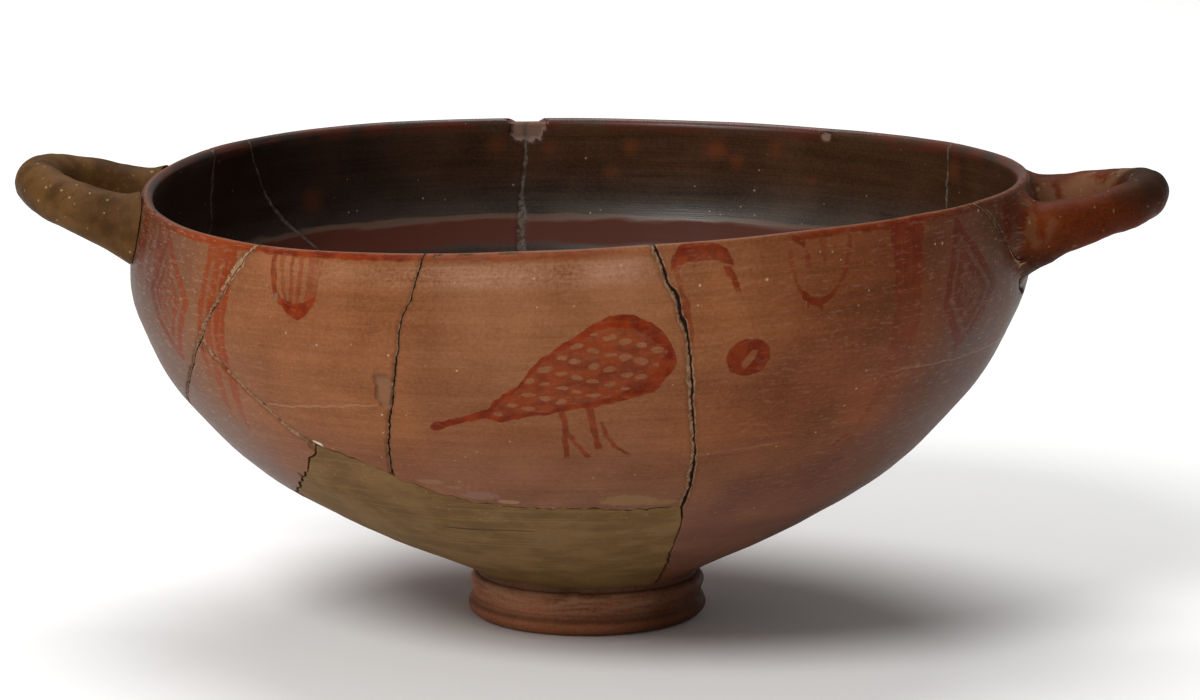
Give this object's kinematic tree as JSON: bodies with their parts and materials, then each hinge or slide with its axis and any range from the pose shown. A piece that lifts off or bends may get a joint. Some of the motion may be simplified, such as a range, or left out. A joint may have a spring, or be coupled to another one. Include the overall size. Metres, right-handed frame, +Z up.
{
  "type": "kylix cup",
  "caption": "Wide shallow drinking cup on a low ring foot with horizontal loop handles; mended fired clay painted with a hatched bird, lozenges and stripes.",
  "frame": {"origin": "centre of the box's underside, within a millimetre of the middle of the standing ring, on the surface the cup stands on", "axes": "+X along the handles towards the ancient handle, -Y towards the painted front with the bird, +Z up out of the bowl's mouth"},
  "size_m": [0.286, 0.2234, 0.1139],
  "materials": {
    "painted_clay": "fired reddish-orange clay, burnished to a low sheen, with red-brown slip paint outside and dark slip inside",
    "toned_plaster": "matt hard plaster toned olive tan",
    "handle_plaster": "matt hard plaster toned olive tan, with pale specks"
  },
  "bodies": {
    "root": {"cup": "painted_clay", "wall_infill": "toned_plaster", "restored_handle": "handle_plaster"}
  },
  "joints": []
}
